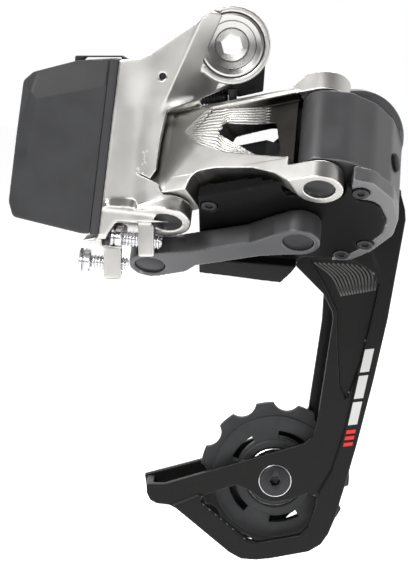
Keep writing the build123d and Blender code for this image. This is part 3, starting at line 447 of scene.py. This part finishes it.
def merge(obj, others):
    """Adds other objects' meshes to obj's, and removes the others."""
    grid = bmesh.new()
    grid.from_mesh(obj.data)
    for other in others:
        grid.from_mesh(other.data)
        bpy.data.objects.remove(other)
    grid.to_mesh(obj.data)
    grid.free()


def soft_casting(node, name, voxel, smoothing, sculpt=None, painted_shade=None):
    """A cast piece: the CAD shape remeshed so that its edges and inner corners are rounded.
    sculpt moves its points, and the last argument gives each point's share of painted shade."""
    obj = copy_node(node, name)
    remesh = obj.modifiers.new("voxels", "REMESH")
    remesh.mode = "VOXEL"
    remesh.voxel_size = voxel
    remesh.adaptivity = 0
    smooth = obj.modifiers.new("round", "SMOOTH")
    smooth.factor = SMOOTH_FACTOR
    smooth.iterations = smoothing
    apply_modifiers(obj)
    if sculpt is not None:
        # read first: a moved point makes Blender work out every normal again
        places = [(v.co.copy(), v.normal.copy()) for v in obj.data.vertices]
        for vertex, (co, normal) in zip(obj.data.vertices, places):
            vertex.co = sculpt(co, normal)
    # painted shade: each point's share of the shade colour, kept as a point attribute for the material
    if painted_shade is not None:
        mask = obj.data.attributes.new("painted_shade", "FLOAT", "POINT")
        mask.data.foreach_set("value", [painted_shade(v.co, v.normal) for v in obj.data.vertices])
    for polygon in obj.data.polygons:
        polygon.use_smooth = True
    place(obj, BODY_OF[node], SLOT_OF[node])
    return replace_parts(obj, node)


def bevelled(node, name, width, segments=2, angle=32):
    """A machined or moulded piece: the CAD shape with its sharp edges broken."""
    obj = copy_node(node, name)
    grid = bmesh.new()
    grid.from_mesh(obj.data)
    bmesh.ops.dissolve_limit(grid, angle_limit=radians(1.0), verts=grid.verts, edges=grid.edges)
    grid.to_mesh(obj.data)
    grid.free()
    bevel = obj.modifiers.new("edges", "BEVEL")
    bevel.width = width
    bevel.segments = segments
    bevel.limit_method = "ANGLE"
    bevel.angle_limit = radians(angle)
    bevel.use_clamp_overlap = True
    bevel.harden_normals = False
    apply_modifiers(obj)
    shade(obj, 40)
    place(obj, BODY_OF[node], SLOT_OF[node])
    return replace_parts(obj, node)


# ------------------------------------------------------------------ swept and turned shapes
def closed_mesh(name, verts, faces, weld=0.0):
    """A new piece from points and faces, all facing outward."""
    mesh = bpy.data.meshes.new(name)
    mesh.from_pydata(verts, [], faces)
    grid = bmesh.new()
    grid.from_mesh(mesh)
    if weld:
        bmesh.ops.remove_doubles(grid, verts=grid.verts, dist=weld)
    bmesh.ops.recalc_face_normals(grid, faces=grid.faces)
    grid.to_mesh(mesh)
    grid.free()
    return new_piece(name, mesh)


def curve_points(knots, count):
    """count points on a smooth curve through the knots (Catmull-Rom)."""
    ends = [knots[0] * 2 - knots[1]] + list(knots) + [knots[-1] * 2 - knots[-2]]
    points = []
    for i in range(count):
        place_on = i / (count - 1) * (len(knots) - 1)
        k = min(int(place_on), len(knots) - 2)
        t = place_on - k
        a, b, c, d = ends[k:k + 4]
        points.append(0.5 * (2 * b + (c - a) * t + (2 * a - 5 * b + 4 * c - d) * t * t
                             + (3 * b - a - 3 * c + d) * t ** 3))
    return points


def swept(name, path, ups, profile):
    """A closed solid along a path: profile holds a list of (sideways, up) pairs per path point."""
    verts, faces = [], []
    count = len(profile[0])
    for i, point in enumerate(path):
        ahead = path[min(i + 1, len(path) - 1)] - path[max(i - 1, 0)]
        side = ahead.cross(ups[i]).normalized()
        verts += [point + side * x + ups[i] * y for x, y in profile[i]]
    for i in range(len(path) - 1):
        for k in range(count):
            a, b = i * count + k, i * count + (k + 1) % count
            faces.append((a, b, b + count, a + count))
    faces.append(tuple(range(count))[::-1])
    faces.append(tuple(range(len(verts) - count, len(verts))))
    return closed_mesh(name, verts, faces)


def blade(name, path, up, half_width, heights, root):
    """A rib with a rounded top standing on a path, sunk by root below it."""
    profiles = []
    for height in heights:
        shoulder, crown = 0.55 * height, 0.92 * height
        profiles.append([(-half_width, -root), (-half_width, shoulder), (-0.5 * half_width, crown),
                         (0.5 * half_width, crown), (half_width, shoulder), (half_width, -root)])
    return swept(name, path, [up] * len(path), profiles)


TURNED_ANGLE = 28           # turned faces that meet at more than this many degrees stay crisp


def turned(name, outline, centre, direction, segments=96):
    """A turned solid: outline is a closed loop of (radius, along) pairs in millimetres round the
    axis through centre.  A third value marks a corner radius of a hexagon instead."""
    direction = Vector(direction).normalized()
    first = direction.orthogonal().normalized()
    second = direction.cross(first)
    verts, faces = [], []
    count = len(outline)
    for i in range(segments):
        angle = 2 * pi * i / segments
        out = first * cos(angle) + second * sin(angle)
        flat = cos(pi / 6) / cos(angle % (pi / 3) - pi / 6)
        for radius, along, *hexagon in outline:
            reach = radius * flat if hexagon else radius
            verts.append(centre + (direction * along + out * reach) * MM)
    for i in range(segments):
        for k in range(count):
            a, b = i * count + k, i * count + (k + 1) % count
            c, d = ((i + 1) % segments) * count + (k + 1) % count, ((i + 1) % segments) * count + k
            faces.append((a, b, c, d))
    obj = closed_mesh(name, verts, faces, weld=0.001 * MM)
    shade(obj, TURNED_ANGLE)
    return obj


def thread(name, centre, direction, radius, pitch, start, length, depth, steps=28):
    """A helical ridge with its crest at radius, which dies away over its first and last half turn."""
    direction = Vector(direction).normalized()
    first = direction.orthogonal().normalized()
    second = direction.cross(first)
    turns = length / pitch
    count = int(turns * steps) + 1
    verts, faces = [], []
    for i in range(count):
        turn = i / steps
        angle = 2 * pi * turn
        out = first * cos(angle) + second * sin(angle)
        grown = ease(min(turn, turns - turn), 0, 0.5)
        crest = radius - depth * (1 - grown)
        root = radius - depth * 1.15
        along = start + turn * pitch
        for r, shift in ((root, -0.46), (crest, -0.07), (crest, 0.07), (root, 0.46)):
            verts.append(centre + (direction * (along + shift * pitch) + out * r) * MM)
    for i in range(count - 1):
        for k in range(4):
            a, b = i * 4 + k, i * 4 + (k + 1) % 4
            faces.append((a, b, b + 4, a + 4))
    faces.append((3, 2, 1, 0))
    faces.append(tuple(range(len(verts) - 4, len(verts))))
    return closed_mesh(name, verts, faces)


# ------------------------------------------------------------------ outer link
LINK_FACE = -6.2            # the level across the link of its outboard face, in millimetres
LINK_FLOOR = -3.6           # the same for the floor of its recess
LINK_BACK = 1.5
RIB_COUNT = 13
RIB_HEIGHT = 0.42
RIB_START = 4.8             # where along the link the middle rib begins
RIB_FADE = (22.0, 29.0)
WINDOW_TIP = (14.6, 23.5)   # along the link, and up its pivots
RECESS_END = 37.2
RECESS_LEVELS = (9.5, 30.4)
FRONT_DEEPER = 0.9
REAR_DEPTH = 0.25


def fan_edges(along):
    """Upper and lower edge of the ribbed fan, as levels up the pivots."""
    upper = 29.9 - 4.2 * (1 - ease(along, 1.0, 14.0)) - 0.3 * ease(14.0 - along, 0, 6)
    lower = 20.6 - 5.8 * ease(along, 4.5, 20.0) - 4.6 * ease(along, 16.0, 36.0)
    return upper, lower


def fan_place(along, level):
    """How far up the fan a point lies, from 0 to 1, with the window taken out of the middle."""
    upper, lower = fan_edges(along)
    start, middle = WINDOW_TIP
    beyond = max(0.0, along - start)
    above = middle + 2.0 * ease(beyond, 0, 3.0) - 0.11 * beyond
    below = middle - 1.6 * ease(beyond, 0, 2.0) - 0.70 * beyond
    share = 0.5
    if level >= above:
        return share + (1 - share) * (level - above) / max(0.5, upper - above)
    if level <= below:
        return share * (level - lower) / max(0.5, below - lower)
    return share


def link_depth(along):
    """How far the recess's floor lies under the face, once its rear end is faired in."""
    front = LINK_FLOOR - LINK_FACE + FRONT_DEEPER
    return REAR_DEPTH + (front - REAR_DEPTH) * ease(along, 6.0, 30.0)


def link_sculpt(co, normal):
    """Fairs the recess into the face at its rear end, and raises the fan of ribs on its floor."""
    along, across, level = link_place(co)
    if along > RECESS_END or not RECESS_LEVELS[0] <= level <= RECESS_LEVELS[1]:
        return co
    full = LINK_FLOOR - LINK_FACE
    if across < LINK_FLOOR:
        sunk = max(0.0, (across - LINK_FACE) / full)
    else:
        sunk = 1 - ease(across, LINK_FLOOR, LINK_BACK)
    shift = sunk * (link_depth(along) - full)
    t = fan_place(along, level)
    start = RIB_START + 5.0 * (2 * t - 1) ** 2
    strength = ease(along, start, start + 3.5) * (1 - ease(along, *RIB_FADE))
    strength *= ease(t, -0.02, 0.05) * (1 - ease(t, 0.97, 1.04)) * ease(-across, 2.6, 3.2)
    strength *= ease(normal.dot(-ACROSS), 0.1, 0.6)
    wave = 0.5 + 0.5 * cos(2 * pi * RIB_COUNT * t)
    raised = strength * RIB_HEIGHT * (2 * wave ** 1.6 - 0.7)
    return co + ACROSS * (shift - raised) * MM


def link_painted_shade(co, normal):
    """Painted shade: grows to 1 towards the front of the recess, on what lies behind the link's face."""
    along, across, level = link_place(co)
    if level < 9.8 or level > 30.2 or along > 37.0:
        return 0.0
    sunk = ease(across, -6.0, -5.0) * (1 - ease(across, 0.5, 2.0))
    return sunk * ease(along, 17.0, 29.0) * ease(normal.dot(-ACROSS), -0.4, 0.0)


# ------------------------------------------------------------------ B-knuckle
PANEL_FRONT = -22.5
VALLEY_DEPTH = 0.9
VALLEY_HALF_WIDTH = 4.2
VALLEY_X = -25.5            # where the valley lies at VALLEY_Z
VALLEY_Z = -30.0


def panel_sculpt(co, normal):
    """Carries the panel's face down to the pocket below the ridge, and runs a soft valley along it."""
    x, y, z = co / MM
    facing = ease(-normal.y, 0.2, 0.6)
    below = ease(-z, 12.5, 19.0) * (1 - ease(-z, 37.0, 41.0)) * ease(x, -30.0, -24.0)
    front = facing * (1 - ease(y, -16.8, -15.4))
    y += (PANEL_FRONT + 0.05 * max(0.0, x + 22.0) - y) * below * front
    valley = (x - VALLEY_X - 0.10 * (z - VALLEY_Z)) / VALLEY_HALF_WIDTH
    y += VALLEY_DEPTH * facing * (1 - ease(y, -21.5, -20.0)) * exp(-valley * valley) * ease(-z, 4, 16)
    return Vector((x, y, z)) * MM


# ------------------------------------------------------------------ battery
BAND_CORNER = (-49.6, -13.6)    # X and Z of the crease's corner, and of its two ends
BAND_FOOT = (-56.2, -43.1)
BAND_END = (-30.0, -10.0)
BAND_SLOPE = 0.5
BAND_LIMIT = 7.0


def inside(x, z, first, second):
    """Distance from the line through two points, positive to its right going from first to second."""
    step = Vector(second) - Vector(first)
    away = Vector((x, z)) - Vector(first)
    return (step.y * away.x - step.x * away.y) / step.length


def battery_sculpt(co, normal):
    """The battery's front face falls away in a flat band along its rear and top edges."""
    x, y, z = co / MM
    reach = min(inside(x, z, BAND_FOOT, BAND_CORNER), inside(x, z, BAND_CORNER, BAND_END))
    front = 1 - ease(y, -21.0, -6.0)
    return co + Vector((0, BAND_SLOPE * front * min(BAND_LIMIT, max(0.0, -reach)), 0)) * MM


# ------------------------------------------------------------------ cage
HATCH_COUNT = 13
HATCH_POINTS = 14
HATCH_HEIGHT = 0.42
RECESS_DEPTH = 1.5


def cage_hatch():
    """Fine ribs across the top of the outer plate's recess."""
    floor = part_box("cage_outer_plate")[0].y / MM + RECESS_DEPTH
    ribs = []
    for i in range(HATCH_COUNT):
        t = i / (HATCH_COUNT - 1)
        top = Vector((22.5 + 15.0 * t, 0, -58.6 - 0.6 * t))
        bottom = Vector((30.0 + 9.0 * t, 0, -67.8 + 1.6 * t))
        middle = (top + bottom) / 2 + Vector((1.0, 0, 0.8))
        path = [Vector((p.x, floor, p.z)) * MM
                for p in curve_points([top, middle, bottom], HATCH_POINTS)]
        shares = [k / (HATCH_POINTS - 1) for k in range(HATCH_POINTS)]
        tall = [(0.03 + HATCH_HEIGHT * ease(share, 0, 0.15) * (1 - ease(share, 0.4, 1.0))) * MM
                for share in shares]
        ribs.append(blade("hatch_%d" % i, path, Vector((0, -1, 0)), 0.22 * MM, tall, 0.2 * MM))
    merge(ribs[0], ribs[1:])
    ribs[0].name = "cage_hatch"
    shade(ribs[0])
    place(ribs[0], "cage", "carbon")


PULLEY_FRONT = -1.8


def lower_pulley_face():
    """The raised ring round the hub and the thin bright shield edge, on the pulley's front."""
    front = PULLEY_FRONT
    ring = turned("pulley_hub_ring", [(8.45, front + 0.3), (8.45, front - 0.35), (8.7, front - 0.5),
                                      (10.2, front - 0.5), (10.5, front - 0.25), (10.6, front + 0.3)],
                  LOWER_AXIS, (0, 1, 0))
    place(ring, "lower_wheel", "pulley_plastic")
    edge = turned("pulley_shield_edge", [(7.75, front + 0.3), (7.75, front - 0.2), (7.9, front - 0.3),
                                         (8.05, front - 0.2), (8.05, front + 0.3)],
                  LOWER_AXIS, (0, 1, 0))
    place(edge, "lower_wheel", "steel")
    disc = turned("pulley_shield", [(4.3, front + 0.3), (4.3, front - 0.05), (7.7, front - 0.1),
                                    (7.7, front + 0.3)], LOWER_AXIS, (0, 1, 0))
    place(disc, "lower_wheel", "rubber_seal")


HUB_SINK = 0.62             # how far the ring's root lies behind the plate's face


def hub_bolt_edge():
    """The thin pale ring round the lower pulley's bolt head."""
    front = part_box("cage_outer_plate")[0].y - LOWER_AXIS.y
    level = front / MM + HUB_SINK
    ring = turned("hub_bolt_edge", [(4.25, level), (4.25, level - 0.16), (4.36, level - 0.22),
                                    (4.48, level - 0.16), (4.48, level)], LOWER_AXIS, (0, 1, 0))
    place(ring, "cage", "steel")


# ------------------------------------------------------------------ screws
SOCKET = True               # marks a hexagon's corner radius in an outline
HEX_R = 3.0
BOLT_FRONT = -17.4
BOLT_SEAT = -14.6
BOLT_END = 8.5
THREAD_PITCH = 0.8
THREAD_DEPTH = 0.55         # of the pitch
SCREW_R = 2.0
STOP_HEAD = 3.2


def threaded_piece(node, outline, centre, direction, crest, pitch, start, length):
    """Replaces a CAD screw by a turned one with a real thread."""
    direction = Vector(direction)
    obj = turned(node + "_turned", outline, Vector(centre) * MM, direction)
    ridge = thread(node + "_thread", Vector(centre) * MM, direction, crest, pitch, start, length,
                   THREAD_DEPTH * pitch)
    merge(obj, [ridge])
    shade(obj, TURNED_ANGLE)
    place(obj, BODY_OF[node], SLOT_OF[node])
    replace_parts(obj, node)


def screws():
    """The hanger bolt, the limit screws and the B-tension screw, turned and threaded."""
    bolt = [(HEX_R, BOLT_END, SOCKET), (HEX_R, -8.3, SOCKET), (4.1, -8.5), (4.25, -15.7), (4.5, -16.1),
            (6.1, -16.55), (6.35, -16.95), (6.6, -17.05), (7.55, BOLT_FRONT), (8.0, -17.3), (8.28, -16.9),
            (8.28, BOLT_SEAT), (5.88, BOLT_SEAT), (5.88, -0.1), (4.45, 0.0), (4.45, 8.1), (4.1, BOLT_END)]
    threaded_piece("hanger_bolt", bolt, (0, 0, 0), (0, 1, 0), 5.0, 1.0, 0.3, 7.9)
    for node in ("high_limit_screw", "low_limit_screw"):
        start, direction, length = screw_axis(node)
        outline = [(0, 2.0), (1.4, 1.9, SOCKET), (1.4, 0.05, SOCKET), (2.0, 0.0), (2.9, 0.0), (3.25, 0.3),
                   (3.25, 0.85), (2.8, 1.0), (2.8, 1.25), (3.25, 1.4), (3.25, 2.6), (2.9, 3.0), (1.8, 3.05),
                   (1.56, 3.2), (1.56, length - 0.4), (1.2, length), (0, length)]
        threaded_piece(node, outline, start, direction, SCREW_R, THREAD_PITCH, 3.3,
                       length - 3.6)
    low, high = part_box("b_tension_screw")
    middle = (Vector(low) + Vector(high)) / 2 / MM
    start = low[0] / MM + STOP_HEAD
    tip = high[0] / MM - start
    outline = [(0, -1.3), (1.25, -1.35, SOCKET), (1.25, -3.15, SOCKET), (1.9, -STOP_HEAD), (2.9, -STOP_HEAD),
               (3.2, -2.9), (3.2, -0.3), (2.9, 0.0), (1.8, 0.0), (1.56, 0.3), (1.56, tip - 0.9),
               (1.2, tip - 0.25), (0.6, tip - 0.05), (0, tip)]
    threaded_piece("b_tension_screw", outline, (start, middle.y, middle.z), (1, 0, 0), SCREW_R,
                   THREAD_PITCH, 0.4, tip - 1.4)


def screw_axis(node):
    """Head end, direction and length of a limit screw, from its joint and its box."""
    joint = JOINTS[node.replace("_limit_screw", "_screw_turn")]
    direction = Vector(joint["axis"]).normalized()
    if direction.x < 0:
        direction = -direction
    corners = [v.co for v in NODES[node].data.vertices]
    pos = Vector(joint["pos_m"])
    reach = [(c - pos).dot(direction) for c in corners]
    return (pos + direction * min(reach)) / MM, direction, (max(reach) - min(reach)) / MM


# ------------------------------------------------------------------ which piece gets which finish
CASTINGS = {
    "b_knuckle": dict(voxel=0.30 * MM, smoothing=7, sculpt=panel_sculpt),
    "inner_link": dict(voxel=0.28 * MM, smoothing=9),
    "p_knuckle": dict(voxel=0.32 * MM, smoothing=6),
    "knuckle_ring": dict(voxel=0.26 * MM, smoothing=4),
    "gearbox_cover": dict(voxel=0.28 * MM, smoothing=4),
    "battery_cover": dict(voxel=0.32 * MM, smoothing=5, sculpt=battery_sculpt),
    "cage_inner_plate": dict(voxel=0.30 * MM, smoothing=3),
}
BROKEN_EDGES = {
    "b_stop_plate": 0.3, "battery_base": 0.2, "battery_latch": 0.2,
    "rear_link_pin": 0.3, "front_link_pin": 0.3, "inner_rear_pin": 0.3, "inner_front_pin": 0.3,
    "cage_axle": 0.2, "pulley_bolts": 0.2,
    "upper_pulley": 0.2, "lower_pulley": 0.2, "upper_bearing_outer": 0.1, "lower_bearing_outer": 0.1,
    "function_button": 0.25, "cover_screws": 0.15, "grub_screw": 0.1, "gearbox_housing": 0.25,
    "bearing_inner_races": 0.1,
}


def main():
    add_camera()
    add_lights()
    add_world()
    add_floor()
    for node, obj in NODES.items():
        put(obj, SLOT_OF[node])
    for node, options in CASTINGS.items():
        soft_casting(node, node + "_shell", **options)
    # the outer link's recess gets painted shade towards its front
    soft_casting("outer_link", "outer_link_shell", 0.17 * MM, 3,
                 sculpt=link_sculpt, painted_shade=link_painted_shade)
    soft_casting("cage_outer_plate", "cage_outer_plate_shell", 0.24 * MM, 3)
    cage_hatch()
    screws()
    lower_pulley_face()
    hub_bolt_edge()
    for node, width in BROKEN_EDGES.items():
        bevelled(node, node + "_finished", width * MM)
    bpy.context.scene.view_settings.view_transform = "Standard"


main()
